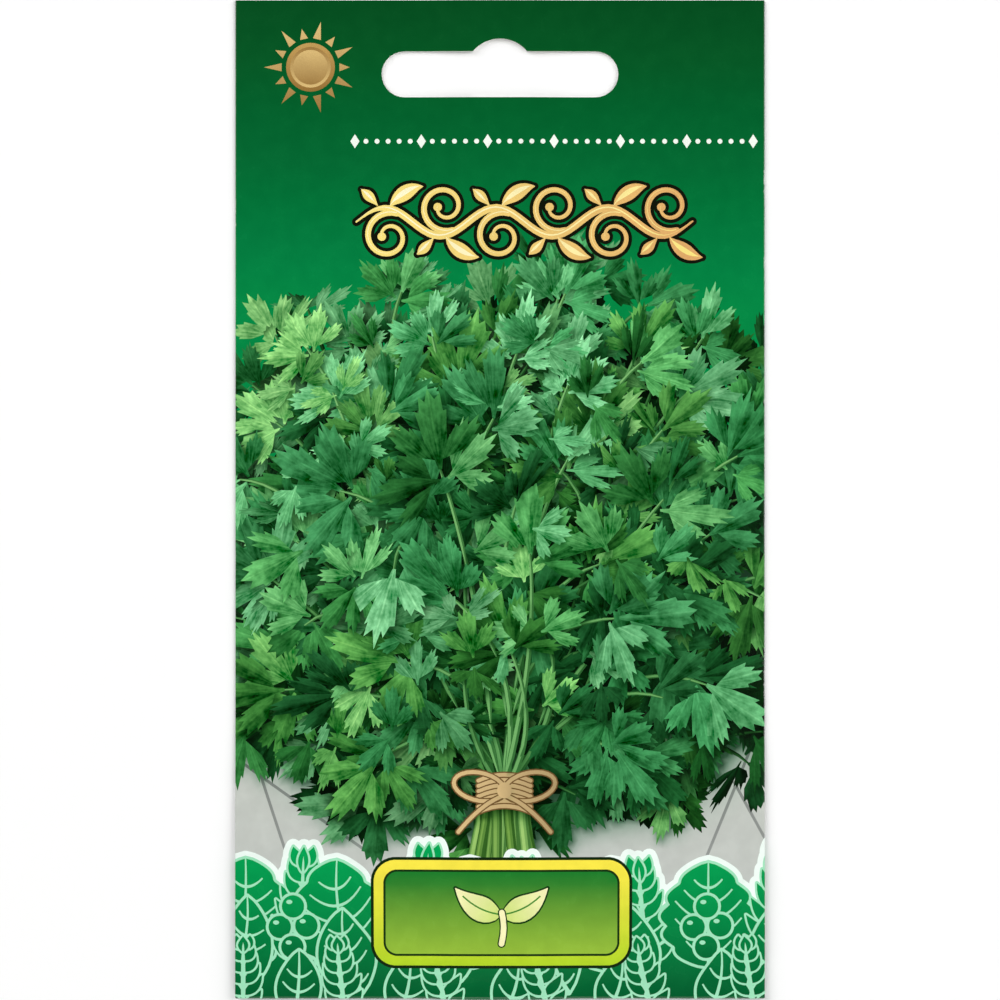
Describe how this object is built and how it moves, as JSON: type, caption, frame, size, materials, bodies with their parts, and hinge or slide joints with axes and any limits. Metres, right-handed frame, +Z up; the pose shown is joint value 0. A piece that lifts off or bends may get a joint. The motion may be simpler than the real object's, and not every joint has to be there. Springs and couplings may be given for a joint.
{
  "type": "seed packet",
  "caption": "Flat folded paper seed packet with a glued back seam, a turned-up foot and a glued head punched with a display hang slot; loose seeds lie inside.",
  "frame": {"origin": "on the surface that the packet lies on, under the middle of its outline", "axes": "+Z up out of the printed front, +Y towards the head with the hang slot, +X to the right of the front"},
  "size_m": [0.0716, 0.135, 0.0032],
  "materials": {
    "printed_paper": "gloss-coated paper printed in full colour outside, plain white inside and at the cut edges",
    "adhesive": "dried clear to cream adhesive film",
    "seed_skin": "dry ribbed grey-brown seed coat"
  },
  "bodies": {
    "root": {"packet_sheet": "printed_paper", "head_glue": "adhesive", "seam_glue": "adhesive", "seam_glue_over_slot": "adhesive", "flap_glue": "adhesive", "seeds": "seed_skin"}
  },
  "joints": []
}
